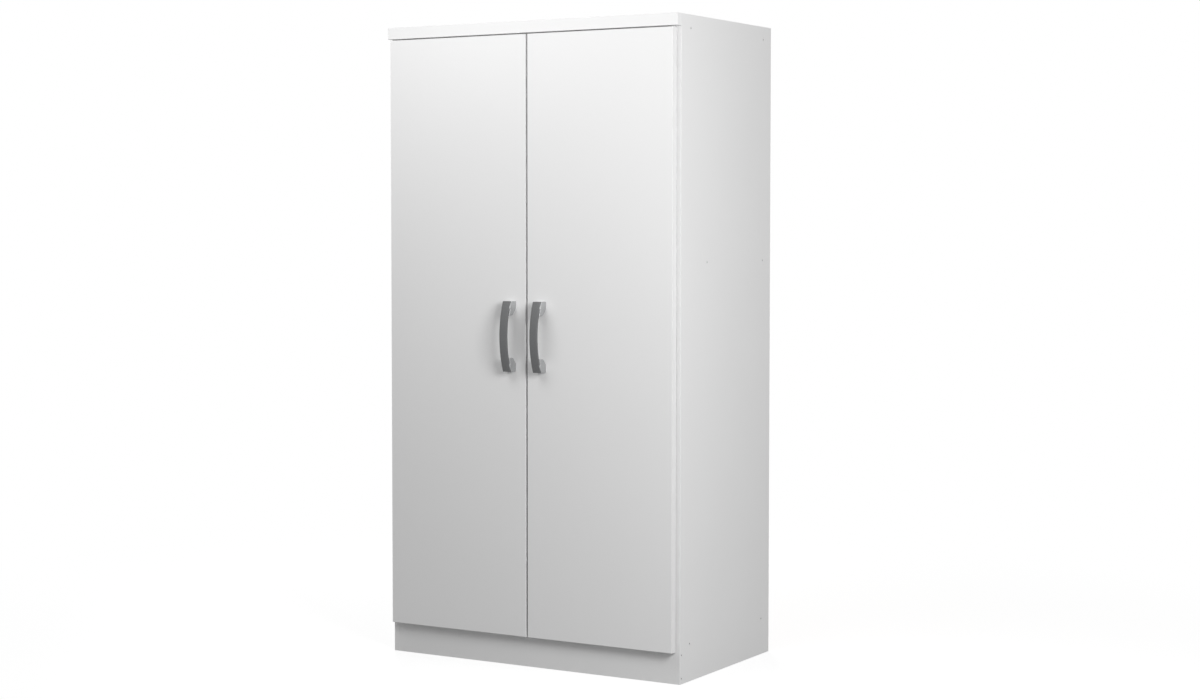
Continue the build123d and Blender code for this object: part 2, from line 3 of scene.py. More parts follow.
import bmesh
import bpy
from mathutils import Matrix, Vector


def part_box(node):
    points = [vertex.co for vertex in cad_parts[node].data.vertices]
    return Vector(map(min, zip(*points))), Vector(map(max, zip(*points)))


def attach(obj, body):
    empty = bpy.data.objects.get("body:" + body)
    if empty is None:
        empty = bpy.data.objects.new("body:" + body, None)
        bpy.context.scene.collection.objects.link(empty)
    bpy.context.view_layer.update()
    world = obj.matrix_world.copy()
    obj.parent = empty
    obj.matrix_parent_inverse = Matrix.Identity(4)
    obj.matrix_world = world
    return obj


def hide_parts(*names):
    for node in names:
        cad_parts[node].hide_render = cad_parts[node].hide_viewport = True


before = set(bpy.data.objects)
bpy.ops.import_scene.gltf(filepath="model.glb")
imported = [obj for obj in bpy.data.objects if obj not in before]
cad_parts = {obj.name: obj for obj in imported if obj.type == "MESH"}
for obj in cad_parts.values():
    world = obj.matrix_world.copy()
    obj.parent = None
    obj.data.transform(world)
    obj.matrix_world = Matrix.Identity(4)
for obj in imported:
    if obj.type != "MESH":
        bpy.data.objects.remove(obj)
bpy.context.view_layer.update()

# Side panels: 18 mm particle board with white melamine paper pressed on both faces. The front and
# upper edges are banded, the back and lower edges stay as sawn. They stand on the floor, and the
# other boards of the carcass are screwed between them.
MM = 0.001
ACROSS, DEEP, UP = range(3)
# A face looks along an axis where its normal is within this slack of it.
FACING_SLACK = 0.3
# The sockets of Mix and Math nodes share their names, so they go by their places.
SHARE, VALUE_A, VALUE_B, TONE_A, TONE_B = 0, 2, 3, 6, 7
MIXED_VALUE, MIXED_TONE = 0, 2
TIMES, PLUS = 1, 2


def linear(code):
    """A hex colour as on a colour card, in the linear values that a shader takes."""
    shares = [int(code[place : place + 2], 16) / 255 for place in (1, 3, 5)]
    return [s / 12.92 if s <= 0.04045 else ((s + 0.055) / 1.055) ** 2.4 for s in shares] + [1.0]


def add(tree, kind, settings=None, inputs=None):
    """Adds a node with its settings, and gives each named input a value or a link."""
    node = tree.nodes.new("ShaderNode" + kind)
    for name, value in (settings or {}).items():
        setattr(node, name, value)
    for name, value in (inputs or {}).items():
        if isinstance(value, bpy.types.NodeSocket):
            tree.links.new(value, node.inputs[name])
        else:
            node.inputs[name].default_value = value
    return node


def blank(name):
    """A new finish, its empty node tree, and the object's own coordinates."""
    finish = bpy.data.materials.new(name)
    finish.use_nodes = True
    finish.node_tree.nodes.clear()
    return finish, finish.node_tree, add(finish.node_tree, "TexCoord").outputs


def melamine_board(name, sawn_faces):
    """White melamine paper with bare particle board on the sawn faces, given by axis and direction."""
    finish, tree, place = blank(name)
    here = place["Object"]
    # The press plate leaves a pearl grain of about 0.4 mm, drawn at 2 mm so that it shows.
    pearl_grain = 2 * MM
    pearl = add(tree, "TexNoise", inputs={"Vector": here, "Scale": 1 / pearl_grain, "Detail": 1.0})
    # The white of the paper drifts a little over a quarter of a metre.
    tone_drift = 240 * MM
    cloud = add(tree, "TexNoise", inputs={"Vector": here, "Scale": 1 / tone_drift, "Detail": 2.0})
    paper_tones = {SHARE: cloud.outputs["Fac"], TONE_A: linear("#E9E9E9"), TONE_B: linear("#ECECEC")}
    paper = add(tree, "Mix", {"data_type": "RGBA"}, paper_tones)
    # Sawn chips are 1 to 4 mm across, straw to brown.
    chip_width = 2.6 * MM
    chips = add(tree, "TexVoronoi", inputs={"Vector": here, "Scale": 1 / chip_width})
    chip_shade = add(tree, "SeparateColor", inputs={"Color": chips.outputs["Color"]})
    chip_tones = {SHARE: chip_shade.outputs["Red"], TONE_A: linear("#8E7150"), TONE_B: linear("#CDB48F")}
    core = add(tree, "Mix", {"data_type": "RGBA"}, chip_tones)
    turned = add(tree, "SeparateXYZ", inputs={"Vector": place["Normal"]})
    sawn = 0.0
    for axis, direction in sawn_faces:
        facing = {0: turned.outputs[axis], 1: direction, 2: FACING_SLACK}
        found = add(tree, "Math", {"operation": "COMPARE"}, facing)
        sawn = add(tree, "Math", {"operation": "MAXIMUM"}, {0: sawn, 1: found.outputs[0]}).outputs[0]
    board_tones = {SHARE: sawn, TONE_A: paper.outputs[MIXED_TONE], TONE_B: core.outputs[MIXED_TONE]}
    colour = add(tree, "Mix", {"data_type": "RGBA"}, board_tones)
    satin_range = {0: pearl.outputs["Fac"], TIMES: 0.12, PLUS: 0.4}
    satin = add(tree, "Math", {"operation": "MULTIPLY_ADD"}, satin_range)
    rough = add(tree, "Mix", inputs={SHARE: sawn, VALUE_A: satin.outputs[0], VALUE_B: 0.92})
    faint = add(tree, "Math", {"operation": "MULTIPLY"}, {0: pearl.outputs["Fac"], TIMES: 0.06})
    heights = {SHARE: sawn, VALUE_A: faint.outputs[0], VALUE_B: chips.outputs["Distance"]}
    height = add(tree, "Mix", inputs=heights).outputs[MIXED_VALUE]
    relief = add(tree, "Bump", inputs={"Height": height, "Strength": 0.5, "Distance": 0.4 * MM})
    board = {"Base Color": colour.outputs[MIXED_TONE], "Roughness": rough.outputs[MIXED_VALUE], "IOR": 1.5}
    shader = add(tree, "BsdfPrincipled", inputs={**board, "Normal": relief.outputs[0]})
    add(tree, "OutputMaterial", inputs={"Surface": shader.outputs[0]})
    return finish


def dress(finish, *names):
    """Gives CAD nodes their finish."""
    for name in names:
        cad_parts[name].material_slots[0].material = finish


side_finish = melamine_board("melamine_board_upright", [(DEEP, 1.0), (UP, -1.0)])
dress(side_finish, "left_side_panel", "right_side_panel")

# Top panel, fixed shelf and bottom panel: the same melamine board laid flat between the sides.
# Their front edges are banded and their back edges are sawn, where the back sheets are nailed on.
flat_finish = melamine_board("melamine_board_flat", [(DEEP, 1.0)])
dress(flat_finish, "top_panel", "fixed_shelf", "bottom_panel")

# Plinth: a strip of the same board on edge under the bottom panel, flush with the front of the sides.
# Its long edges are sawn, one on the floor and one under the bottom panel.
plinth_finish = melamine_board("melamine_board_on_edge", [(UP, 1.0), (UP, -1.0)])
dress(plinth_finish, "plinth")

# Carcass screws: steel screws driven through the sides into the ends of the boards. The flat heads
# are lacquered white and lie flush. The hexagon socket is painted near black: bare steel, with the
# shade of the recess painted into its colour.
lacquer_depth = 0.15 * MM
side_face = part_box("right_side_panel")[1].x
screw_finish, tree, place = blank("white_lacquered_screw")
spread = add(tree, "SeparateXYZ", inputs={"Vector": place["Object"]})
outwards = add(tree, "Math", {"operation": "ABSOLUTE"}, {0: spread.outputs[ACROSS]})
on_head = {0: outwards.outputs[0], 1: side_face - lacquer_depth}
lacquered = add(tree, "Math", {"operation": "GREATER_THAN"}, on_head)
# Scuffs from the key are about 0.6 mm long and take the gloss down in spots.
scuff_length = 0.6 * MM
scuffs = {"Vector": place["Object"], "Scale": 1 / scuff_length, "Detail": 3.0}
scuff = add(tree, "TexNoise", inputs=scuffs)
# The socket tones are painted shade: bare steel made much darker than it is, so the recess reads dark.
socket_steel_shade_tones = {SHARE: scuff.outputs["Fac"], TONE_A: linear("#2B2B2C"), TONE_B: linear("#4A4A4B")}
socket_steel_and_shade = add(tree, "Mix", {"data_type": "RGBA"}, socket_steel_shade_tones)
head_tones = {SHARE: lacquered.outputs[0], TONE_A: socket_steel_and_shade.outputs[MIXED_TONE], TONE_B: linear("#E4E4E4")}
head = add(tree, "Mix", {"data_type": "RGBA"}, head_tones)
sheen_range = {0: scuff.outputs["Fac"], TIMES: 0.25, PLUS: 0.28}
sheen = add(tree, "Math", {"operation": "MULTIPLY_ADD"}, sheen_range)
screw = {"Base Color": head.outputs[MIXED_TONE], "Roughness": sheen.outputs[0], "IOR": 1.5}
shader = add(tree, "BsdfPrincipled", inputs=screw)
add(tree, "OutputMaterial", inputs={"Surface": shader.outputs[0]})
dress(screw_finish, "left_carcass_screws", "right_carcass_screws")

# Back sheets: 3 mm hardboard, lacquered white towards the inside. The outer face is bare brown fibre
# with the print of the wire screen that it was pressed on. The sheets lie in rabbets of the sides.
sheet_finish, tree, place = blank("hardboard_lacquered_inside")
here = place["Object"]
# Bundles of fibre are about 9 mm long.
fibre_length = 9 * MM
fibres = {"Vector": here, "Scale": 1 / fibre_length, "Detail": 8.0, "Roughness": 0.7}
fibre = add(tree, "TexNoise", inputs=fibres)
fibre_tones = {SHARE: fibre.outputs["Fac"], TONE_A: linear("#6E5038"), TONE_B: linear("#B08A62")}
brown = add(tree, "Mix", {"data_type": "RGBA"}, fibre_tones)
# The screen's wires stand 1.5 mm apart, drawn 4 mm apart so that they show. A wave of scale s repeats
# every 0.314 / s.
wire_pitch = 4 * MM
wires = {"Vector": here, "Scale": 0.314 / wire_pitch, "Distortion": 0.4}
wire_across = add(tree, "TexWave", {"bands_direction": "X"}, wires)
wire_up = add(tree, "TexWave", {"bands_direction": "Z"}, wires)
crossed = {0: wire_across.outputs["Fac"], 1: wire_up.outputs["Fac"]}
screen = add(tree, "Math", {"operation": "MULTIPLY"}, crossed)
turned = add(tree, "SeparateXYZ", inputs={"Vector": place["Normal"]})
inwards = {0: turned.outputs[DEEP], 1: -1.0, 2: FACING_SLACK}
inside = add(tree, "Math", {"operation": "COMPARE"}, inwards).outputs[0]
# The lacquer drifts in tone over some 180 mm.
lacquer_drift = 180 * MM
cloud = add(tree, "TexNoise", inputs={"Vector": here, "Scale": 1 / lacquer_drift, "Detail": 2.0})
lacquer_tones = {SHARE: cloud.outputs["Fac"], TONE_A: linear("#E2E2DF"), TONE_B: linear("#E8E8E6")}
lacquer = add(tree, "Mix", {"data_type": "RGBA"}, lacquer_tones)
sheet_tones = {SHARE: inside, TONE_A: brown.outputs[MIXED_TONE], TONE_B: lacquer.outputs[MIXED_TONE]}
colour = add(tree, "Mix", {"data_type": "RGBA"}, sheet_tones)
rough_range = {0: inside, TIMES: -0.35, PLUS: 0.85}
rough = add(tree, "Math", {"operation": "MULTIPLY_ADD"}, rough_range)
heights = {SHARE: inside, VALUE_A: screen.outputs[0], VALUE_B: fibre.outputs["Fac"]}
height = add(tree, "Mix", inputs=heights).outputs[MIXED_VALUE]
relief = add(tree, "Bump", inputs={"Height": height, "Strength": 0.35, "Distance": 0.3 * MM})
sheet = {"Base Color": colour.outputs[MIXED_TONE], "Roughness": rough.outputs[0], "IOR": 1.5}
shader = add(tree, "BsdfPrincipled", inputs={**sheet, "Normal": relief.outputs[0]})
add(tree, "OutputMaterial", inputs={"Surface": shader.outputs[0]})
dress(sheet_finish, "back_panel_left", "back_panel_right")

# Joining strip: a white plastic extrusion of H section that grips both sheets. The die leaves faint
# lines along its length.
strip_finish, tree, place = blank("extruded_white_plastic")
# Die lines are a few tenths of a millimetre wide, drawn 1 mm wide and 0.5 m long.
die_line_width = 1 * MM
die_line_length = 500 * MM
die_scale = (1 / die_line_width, 1 / die_line_width, 1 / die_line_length)
drawn = add(tree, "Mapping", inputs={"Vector": place["Object"], "Scale": die_scale})
die_lines = add(tree, "TexNoise", inputs={"Vector": drawn.outputs[0], "Scale": 1.0, "Detail": 2.0})
strip_tones = {SHARE: die_lines.outputs["Fac"], TONE_A: linear("#E6E6E3"), TONE_B: linear("#EEEEEC")}
strip_colour = add(tree, "Mix", {"data_type": "RGBA"}, strip_tones)
lined = {"Height": die_lines.outputs["Fac"], "Strength": 0.3, "Distance": 0.05 * MM}
relief = add(tree, "Bump", inputs=lined)
strip = {"Base Color": strip_colour.outputs[MIXED_TONE], "Roughness": 0.34, "IOR": 1.53}
shader = add(tree, "BsdfPrincipled", inputs={**strip, "Normal": relief.outputs[0]})
add(tree, "OutputMaterial", inputs={"Surface": shader.outputs[0]})
dress(strip_finish, "back_joint_strip")

# Nails, brackets and small screws: steel with bright zinc plating, cold headed or stamped. The plating
# shows a faint blue to straw bloom, and its gloss changes with the bloom.
zinc_finish, tree, place = blank("zinc_plated_steel")
# The bloom drifts over about 5 mm.
bloom_drift = 5 * MM
blooms = {"Vector": place["Object"], "Scale": 1 / bloom_drift, "Detail": 3.0}
bloom = add(tree, "TexNoise", inputs=blooms)
zinc_tones = {SHARE: bloom.outputs["Fac"], TONE_A: linear("#B3BAC2"), TONE_B: linear("#CFCBBB")}
zinc = add(tree, "Mix", {"data_type": "RGBA"}, zinc_tones)
dull_range = {0: bloom.outputs["Fac"], TIMES: 0.2, PLUS: 0.24}
dull = add(tree, "Math", {"operation": "MULTIPLY_ADD"}, dull_range)
plated = {"Base Color": zinc.outputs[MIXED_TONE], "Roughness": dull.outputs[0], "Metallic": 1.0}
shader = add(tree, "BsdfPrincipled", inputs=plated)
add(tree, "OutputMaterial", inputs={"Surface": shader.outputs[0]})
dress(zinc_finish, "back_panel_nails", "cornice_brackets", "cornice_bracket_screws", "rail_socket_screws")

# Cornice strip: 22 mm fibreboard wrapped in white satin foil, with rounded edges, across the front.
# Two dowels and three brackets behind it hold it to the sides and to the top panel.
foil_finish, tree, place = blank("white_foil_on_fibreboard")
here = place["Object"]
# The wrapping press leaves a soft waviness of about 8 mm and drifts in tone over half a metre.
wave_length = 8 * MM
foil_drift = 500 * MM
wavy = add(tree, "TexNoise", inputs={"Vector": here, "Scale": 1 / wave_length, "Detail": 1.0})
cloud = add(tree, "TexNoise", inputs={"Vector": here, "Scale": 1 / foil_drift, "Detail": 2.0})
foil_tones = {SHARE: cloud.outputs["Fac"], TONE_A: linear("#EBEBEB"), TONE_B: linear("#EEEEEE")}
foil = add(tree, "Mix", {"data_type": "RGBA"}, foil_tones)
satin_range = {0: wavy.outputs["Fac"], TIMES: 0.08, PLUS: 0.4}
satin = add(tree, "Math", {"operation": "MULTIPLY_ADD"}, satin_range)
waves = {"Height": wavy.outputs["Fac"], "Strength": 0.25, "Distance": 0.04 * MM}
relief = add(tree, "Bump", inputs=waves)
wrapped = {"Base Color": foil.outputs[MIXED_TONE], "Roughness": satin.outputs[0], "IOR": 1.48}
shader = add(tree, "BsdfPrincipled", inputs={**wrapped, "Normal": relief.outputs[0]})
add(tree, "OutputMaterial", inputs={"Surface": shader.outputs[0]})
dress(foil_finish, "cornice_strip")

# Cornice dowels: turned beech pins, half in the cornice strip and half in the front edges of the sides.
# Raw beech is pale and pinkish, with short darker flecks along the pin.
beech_finish, tree, place = blank("raw_beech")
# Flecks are 0.4 mm wide and about 6 mm long, along the pin.
fleck_width = 0.4 * MM
fleck_length = 6 * MM
fleck_scale = (1 / fleck_width, 1 / fleck_length, 1 / fleck_width)
along = add(tree, "Mapping", inputs={"Vector": place["Object"], "Scale": fleck_scale})
figure = add(tree, "TexNoise", inputs={"Vector": along.outputs[0], "Scale": 1.0, "Detail": 4.0})
beech_tones = {SHARE: figure.outputs["Fac"], TONE_A: linear("#B98A62"), TONE_B: linear("#E0BC97")}
beech = add(tree, "Mix", {"data_type": "RGBA"}, beech_tones)
flecked = {"Height": figure.outputs["Fac"], "Strength": 0.3, "Distance": 0.1 * MM}
relief = add(tree, "Bump", inputs=flecked)
pin = {"Base Color": beech.outputs[MIXED_TONE], "Roughness": 0.6, "Normal": relief.outputs[0]}
shader = add(tree, "BsdfPrincipled", inputs=pin)
add(tree, "OutputMaterial", inputs={"Surface": shader.outputs[0]})
dress(beech_finish, "cornice_dowels")

# Hanging rail: oval steel tube, polished and chrome plated, that lies in a screwed socket at each end.
# It mirrors the inside of the wardrobe, with faint lines from drawing along the tube.
rail_finish, tree, place = blank("chrome_plated_tube")
# Drawing lines are 0.3 mm wide, drawn 1.2 mm wide and half a metre long.
tube_line_width = 1.2 * MM
tube_line_length = 500 * MM
tube_scale = (1 / tube_line_length, 1 / tube_line_width, 1 / tube_line_width)
along = add(tree, "Mapping", inputs={"Vector": place["Object"], "Scale": tube_scale})
drawn = add(tree, "TexNoise", inputs={"Vector": along.outputs[0], "Scale": 1.0, "Detail": 3.0})
tube_tones = {SHARE: drawn.outputs["Fac"], TONE_A: linear("#D2D4D7"), TONE_B: linear("#DFE0E2")}
chrome = add(tree, "Mix", {"data_type": "RGBA"}, tube_tones)
polish_range = {0: drawn.outputs["Fac"], TIMES: 0.08, PLUS: 0.06}
polish = add(tree, "Math", {"operation": "MULTIPLY_ADD"}, polish_range)
tube = {"Base Color": chrome.outputs[MIXED_TONE], "Roughness": polish.outputs[0], "Metallic": 1.0}
shader = add(tree, "BsdfPrincipled", inputs=tube)
add(tree, "OutputMaterial", inputs={"Surface": shader.outputs[0]})
dress(rail_finish, "hanging_rail")

# Rail sockets: zinc castings with a closed foot plate, chrome plated like the tube. The cast skin is
# less even than the drawn tube, so its mirror is softer.
socket_finish, tree, place = blank("chrome_plated_casting")
# The cast skin undulates over about 4 mm.
skin_wave = 4 * MM
skin = add(tree, "TexNoise", inputs={"Vector": place["Object"], "Scale": 1 / skin_wave, "Detail": 2.0})
socket_tones = {SHARE: skin.outputs["Fac"], TONE_A: linear("#CACCCF"), TONE_B: linear("#D8D9DB")}
cast = add(tree, "Mix", {"data_type": "RGBA"}, socket_tones)
uneven = {"Height": skin.outputs["Fac"], "Strength": 0.2, "Distance": 0.1 * MM}
relief = add(tree, "Bump", inputs=uneven)
socket = {"Base Color": cast.outputs[MIXED_TONE], "Roughness": 0.16, "Metallic": 1.0}
shader = add(tree, "BsdfPrincipled", inputs={**socket, "Normal": relief.outputs[0]})
add(tree, "OutputMaterial", inputs={"Surface": shader.outputs[0]})
dress(socket_finish, "left_rail_socket", "right_rail_socket")

# Doors: the same wrapped fibreboard as the cornice strip, one leaf on each side, bored at the back for
# three hinge cups. They hang in front of the carcass and leave a narrow gap where they meet.
dress(foil_finish, "left_door_panel", "right_door_panel")

# Door bumpers: small clear pads stuck to the backs of the doors, which meet the carcass first.
# They are cast soft plastic, glossy and see-through, with a faint haze.
bumper_finish, tree, place = blank("clear_soft_plastic")
# The haze drifts over about 2 mm.
haze_drift = 2 * MM
haze = add(tree, "TexNoise", inputs={"Vector": place["Object"], "Scale": 1 / haze_drift, "Detail": 2.0})
hazy_range = {0: haze.outputs["Fac"], TIMES: 0.2, PLUS: 0.12}
hazy = add(tree, "Math", {"operation": "MULTIPLY_ADD"}, hazy_range)
bumper_tones = {SHARE: haze.outputs["Fac"], TONE_A: linear("#EDEDE8"), TONE_B: linear("#F6F6F3")}
clear = add(tree, "Mix", {"data_type": "RGBA"}, bumper_tones)
pad = {"Base Color": clear.outputs[MIXED_TONE], "Roughness": hazy.outputs[0], "IOR": 1.48}
shader = add(tree, "BsdfPrincipled", inputs={**pad, "Transmission Weight": 0.85})
add(tree, "OutputMaterial", inputs={"Surface": shader.outputs[0]})
dress(bumper_finish, "left_door_bumpers", "right_door_bumpers")

# Hinges: three for each door, pressed steel with a satin nickel plating. The cup sits in the door, the
# arm turns on a pin in the cup, and a plate screwed to the side carries the arm.
hinge_finish, tree, place = blank("nickel_plated_steel")
here = place["Object"]
# The sheet keeps its rolling lines, 0.5 mm wide, and the plating drifts from grey to straw over 12 mm.
roll_line_width = 0.5 * MM
roll_line_length = 30 * MM
nickel_drift = 12 * MM
roll_scale = (1 / roll_line_width, 1 / roll_line_length, 1 / roll_line_width)
rolled = add(tree, "Mapping", inputs={"Vector": here, "Scale": roll_scale})
lines = add(tree, "TexNoise", inputs={"Vector": rolled.outputs[0], "Scale": 1.0, "Detail": 2.0})
bloom = add(tree, "TexNoise", inputs={"Vector": here, "Scale": 1 / nickel_drift, "Detail": 2.0})
nickel_tones = {SHARE: bloom.outputs["Fac"], TONE_A: linear("#BDB9B2"), TONE_B: linear("#CFCCC4")}
nickel = add(tree, "Mix", {"data_type": "RGBA"}, nickel_tones)
satin_range = {0: lines.outputs["Fac"], TIMES: 0.16, PLUS: 0.18}
satin = add(tree, "Math", {"operation": "MULTIPLY_ADD"}, satin_range)
pressed = {"Base Color": nickel.outputs[MIXED_TONE], "Roughness": satin.outputs[0], "Metallic": 1.0}
shader = add(tree, "BsdfPrincipled", inputs=pressed)
add(tree, "OutputMaterial", inputs={"Surface": shader.outputs[0]})
for hand in ("left", "right"):
    for level in ("lower", "middle", "upper"):
        dress(hinge_finish, *[f"{hand}_hinge_{part}_{level}" for part in ("cup", "arm", "plate")])
    dress(hinge_finish, f"{hand}_hinge_pins")
    dress(zinc_finish, *[f"{hand}_hinge_{part}_screws" for part in ("cup", "plate", "arm")])

# Handle straps: a bowed strap in graphite lacquer on each door, with eased outer edges. Its ends lie
# between the cheeks of two cast feet.
graphite_finish, tree, place = blank("graphite_lacquer")
# The lacquer's metal flakes are finer than 0.1 mm, drawn at 0.8 mm so that they show.
flake_width = 0.8 * MM
flakes = add(tree, "TexVoronoi", inputs={"Vector": place["Object"], "Scale": 1 / flake_width})
flake = add(tree, "SeparateColor", inputs={"Color": flakes.outputs["Color"]})
graphite_tones = {SHARE: flake.outputs["Red"], TONE_A: linear("#606162"), TONE_B: linear("#6B6C6D")}
graphite = add(tree, "Mix", {"data_type": "RGBA"}, graphite_tones)
satin_range = {0: flake.outputs["Green"], TIMES: 0.1, PLUS: 0.46}
satin = add(tree, "Math", {"operation": "MULTIPLY_ADD"}, satin_range)
lacquer = {"Base Color": graphite.outputs[MIXED_TONE], "Roughness": satin.outputs[0], "IOR": 1.5}
shader = add(tree, "BsdfPrincipled", inputs=lacquer)
add(tree, "OutputMaterial", inputs={"Surface": shader.outputs[0]})

handle_half = 98.0 * MM
bow_front = 45.0 * MM
bow_end = 26.5 * MM
strap_width = 24.0 * MM
strap_thick = 5.0 * MM
strap_round = 1.0 * MM
hair = 0.01 * MM
bow_rise = bow_front - bow_end
bow_radius = (handle_half**2 + bow_rise**2) / (2 * bow_rise)
bow_centre = Vector((0, bow_radius - bow_front, 0))
BOW_STEPS = 27
CREASE = math.radians(32)


def bow_place(depth, along):
    """A place on the bow, at a depth below its outer face and a distance along it from the middle."""
    return Vector((0, bow_centre.y - math.sqrt((bow_radius - depth) ** 2 - along**2), along))


def bow_edge(form, depth):
    """A chain of edges along the bow from its upper to its lower end, at a depth below the outer face."""
    top = bmesh.ops.create_vert(form, co=bow_place(depth, handle_half))["vert"]
    turn = 2 * math.asin(handle_half / (bow_radius - depth))
    swept = {"cent": bow_centre, "axis": (1, 0, 0), "angle": turn, "steps": BOW_STEPS}
    bottom = bmesh.ops.spin(form, geom=top, **swept)["geom_last"]
    return top[0], bottom[0]


def thicken(form, width):
    """Fills the outline and draws it out to a solid of that width."""
    outline = bmesh.ops.contextual_create(form, geom=form.edges[:])["faces"]
    drawn = bmesh.ops.extrude_face_region(form, geom=outline)["geom"]
    moved = [part for part in drawn if isinstance(part, bmesh.types.BMVert)]
    bmesh.ops.translate(form, vec=(width, 0, 0), verts=moved)
    bmesh.ops.translate(form, vec=(-width / 2, 0, 0), verts=form.verts[:])
    bmesh.ops.recalc_face_normals(form, faces=form.faces[:])


def soften(form, edges, offset, segments):
    """Rounds edges."""
    bevel = {"offset": offset, "offset_type": "OFFSET", "segments": segments, "profile": 0.5}
    bmesh.ops.bevel(form, geom=edges, affect="EDGES", material=-1, clamp_overlap=True, **bevel)


def placed(name, form, finish):
    """Makes a finished form an object of the scene."""
    mesh = bpy.data.meshes.new(name)
    form.to_mesh(mesh)
    form.free()
    mesh.materials.append(finish)
    piece = bpy.data.objects.new(name, mesh)
    bpy.context.scene.collection.objects.link(piece)
    return piece


def fitted(hand, part, form, finish):
    """Sets a part of a handle on its door, with smooth rounds and sharp creases."""
    low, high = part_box(f"{hand}_handle_base")
    seat = Vector(((low.x + high.x) / 2, high.y, (low.z + high.z) / 2))
    bmesh.ops.translate(form, vec=seat, verts=form.verts[:])
    piece = placed(f"{hand}_handle_{part}", form, finish)
    piece.data.shade_smooth()
    piece.data.set_sharp_from_angle(angle=CREASE)
    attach(piece, f"{hand}_door")
    return piece


for hand in ("left", "right"):
    form = bmesh.new()
    outer_ends = bow_edge(form, 0.0)
    inner_ends = bow_edge(form, strap_thick)
    for outer, inner in zip(outer_ends, inner_ends):
        form.edges.new((outer, inner))
    thicken(form, strap_width)
    shown = [
        edge
        for edge in form.edges
        if all(abs((vert.co - bow_centre).yz.length - bow_radius) < hair for vert in edge.verts)
        and edge.calc_length() < strap_width / 2
    ]
    soften(form, shown, strap_round, segments=4)
    strap = fitted(hand, "strap", form, graphite_finish)
    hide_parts(f"{hand}_handle_face")

# Handle feet: zinc castings with a satin silver plating, two for each strap. Their rounded cheeks hold
# the end of the strap, and screws from behind the door pull the feet on to it.
silver_finish, tree, place = blank("satin_silver_casting")
# The blasted skin under the plating has a grit of 0.5 mm.
grit_width = 0.5 * MM
grit = add(tree, "TexNoise", inputs={"Vector": place["Object"], "Scale": 1 / grit_width, "Detail": 2.0})
silver_tones = {SHARE: grit.outputs["Fac"], TONE_A: linear("#AAABAC"), TONE_B: linear("#BABBBC")}
silver = add(tree, "Mix", {"data_type": "RGBA"}, silver_tones)
satin_range = {0: grit.outputs["Fac"], TIMES: 0.1, PLUS: 0.24}
satin = add(tree, "Math", {"operation": "MULTIPLY_ADD"}, satin_range)
blasted = {"Height": grit.outputs["Fac"], "Strength": 0.06, "Distance": 0.05 * MM}
relief = add(tree, "Bump", inputs=blasted)
casting = {"Base Color": silver.outputs[MIXED_TONE], "Roughness": satin.outputs[0], "Metallic": 0.7}
shader = add(tree, "BsdfPrincipled", inputs={**casting, "Normal": relief.outputs[0]})
add(tree, "OutputMaterial", inputs={"Surface": shader.outputs[0]})

foot_width = 29.0 * MM
foot_inner = handle_half - 22.0 * MM
reach_inner = handle_half - 39.0 * MM
shoulder_out = 15.0 * MM
shoulder_cut = 3.6 * MM
cheek_peak = handle_half - 19.0 * MM
cheek_inner = handle_half - 23.0 * MM
cheek_round = 4.0 * MM
rim_round = 1.4 * MM
FLAT = math.radians(1)


def across(form, corner):
    """The edges that run across the handle at a corner of the profile."""
    return [edge for edge in form.edges if all((vert.co - corner).yz.length < hair for vert in edge.verts)]


for hand in ("left", "right"):
    form = bmesh.new()
    strap_end = bow_place(strap_thick, handle_half)
    peak = bow_place(strap_round, cheek_peak)
    cheek_low = bow_place(strap_thick, cheek_inner)
    shoulder = Vector((0, -shoulder_out, reach_inner))
    profile = [
        Vector((0, 0, foot_inner)),
        Vector((0, 0, handle_half)),
        strap_end,
        peak,
        cheek_low,
        bow_place(strap_thick, reach_inner),
        shoulder,
    ]
    corners = [bmesh.ops.create_vert(form, co=corner)["vert"][0] for corner in profile]
    for first, second in zip(corners, corners[1:] + corners[:1]):
        form.edges.new((first, second))
    thicken(form, foot_width)
    # Between the cheeks the top is let down to the seat of the strap.
    for wall in (-strap_width / 2, strap_width / 2):
        whole = form.verts[:] + form.edges[:] + form.faces[:]
        bmesh.ops.bisect_plane(form, geom=whole, dist=hair, plane_co=(wall, 0, 0), plane_no=(1, 0, 0))
    ridge = [edge for edge in across(form, peak) if abs(sum(vert.co.x for vert in edge.verts)) < hair]
    top = ridge[0].link_faces[:]
    sunk = bmesh.ops.extrude_face_region(form, geom=top)["geom"]
    bmesh.ops.delete(form, geom=top, context="FACES")
    let_down = [
        part
        for part in sunk
        if isinstance(part, bmesh.types.BMVert) and (part.co - peak).yz.length < hair
    ]
    share = (handle_half - cheek_peak) / (handle_half - cheek_inner)
    bmesh.ops.translate(form, vec=strap_end.lerp(cheek_low, share) - peak, verts=let_down)
    bmesh.ops.remove_doubles(form, verts=form.verts[:], dist=hair)
    bmesh.ops.dissolve_limit(form, angle_limit=FLAT, verts=form.verts[:], edges=form.edges[:])
    soften(form, across(form, shoulder), shoulder_cut, segments=8)
    soften(form, across(form, peak), cheek_round, segments=5)
    for flank in (-foot_width / 2, foot_width / 2):
        rim = [
            edge
            for edge in form.edges
            if all(abs(vert.co.x - flank) < hair for vert in edge.verts)
            and any(vert.co.y < -hair for vert in edge.verts)
        ]
        soften(form, rim, rim_round, segments=3)
    bmesh.ops.mirror(form, geom=form.verts[:] + form.edges[:] + form.faces[:], axis="Z", merge_dist=0.0)
    bmesh.ops.recalc_face_normals(form, faces=form.faces[:])
    feet = fitted(hand, "casting", form, silver_finish)
    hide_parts(f"{hand}_handle_base")
    dress(zinc_finish, f"{hand}_handle_screws")

# Floor: a pale matt studio floor just under the wardrobe. It keeps the wardrobe's soft shadow and runs
# out to plain white.
floor_radius = 16.0
floor_drop = 0.5 * MM
shadow_reach = 1.0
white_from = 2.6
floor_finish, tree, place = blank("pale_studio_floor")


